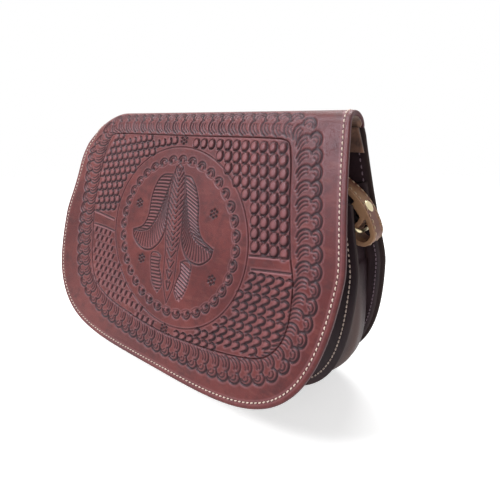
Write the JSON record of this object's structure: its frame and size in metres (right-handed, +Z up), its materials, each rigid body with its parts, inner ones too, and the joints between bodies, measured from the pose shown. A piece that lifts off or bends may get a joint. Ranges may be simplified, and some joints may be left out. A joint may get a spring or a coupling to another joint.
{
  "type": "crossbody bag",
  "caption": "Saddle-shaped leather crossbody bag with a fold-over flap, gusseted body, D-rings and a riveted shoulder strap stowed inside.",
  "frame": {"origin": "middle of the flat base of the body, halfway between the front and back panels", "axes": "+X to the bag's right as seen from the front, -Y out of the front towards the viewer, +Z up towards the top fold"},
  "size_m": [0.24, 0.1062, 0.178],
  "materials": {
    "tooled_leather": "satin vegetable-tanned leather, tooled and waxed",
    "suede": "mottled suede",
    "dark_leather": "smooth dark leather with rubbed edges",
    "strap_leather": "matt tan leather, stitched",
    "brass": "pale polished brass"
  },
  "bodies": {
    "bag": {"front_panel": "dark_leather", "back_panel": "dark_leather", "flap_anchor": "suede", "gusset": "dark_leather", "ring_tab_right": "dark_leather", "ring_tab_left": "dark_leather", "tab_rivet_right": "brass", "tab_rivet_left": "brass", "snap_socket": "brass", "snap_socket_plate": "brass", "strap": "strap_leather"},
    "flap": {"flap": "tooled_leather", "flap_lining": "suede", "snap_stud": "brass"},
    "ring_right": {"ring_right": "brass"},
    "ring_left": {"ring_left": "brass"},
    "strap_end_right": {"strap_loop_right": "strap_leather", "strap_rivet_right": "brass"},
    "strap_end_left": {"strap_loop_left": "strap_leather", "strap_rivet_left": "brass"}
  },
  "joints": [
    {"name": "flap_fold", "type": "hinge", "parent": "bag", "child": "flap", "pos_m": [0, -0.00506, 0.16986], "axis": [-1, 0, 0], "range_deg": [-13.2, 150], "stiffness_Nm_per_rad": 0.4, "springref_deg": 4.58},
    {"name": "strap_flex_right", "type": "hinge", "parent": "bag", "child": "strap_end_right", "pos_m": [0.0917, -0.01102, 0.1447], "axis": [0, -1, 0], "range_deg": [-3, 3], "stiffness_Nm_per_rad": 0.05},
    {"name": "ring_swing_right", "type": "hinge", "parent": "bag", "child": "ring_right", "pos_m": [0.10274, -0.01102, 0.11979], "axis": [0, -1, 0], "range_deg": [-5, 5]},
    {"name": "strap_flex_left", "type": "hinge", "parent": "bag", "child": "strap_end_left", "pos_m": [-0.0917, -0.01102, 0.1447], "axis": [0, 1, 0], "range_deg": [-3, 3], "stiffness_Nm_per_rad": 0.05},
    {"name": "ring_swing_left", "type": "hinge", "parent": "bag", "child": "ring_left", "pos_m": [-0.10274, -0.01102, 0.11979], "axis": [0, 1, 0], "range_deg": [-5, 5]}
  ],
  "couplings": [
    {"joint": "ring_swing_right", "follows": "strap_flex_right", "ratio": 1.6},
    {"joint": "ring_swing_left", "follows": "strap_flex_left", "ratio": 1.6}
  ]
}
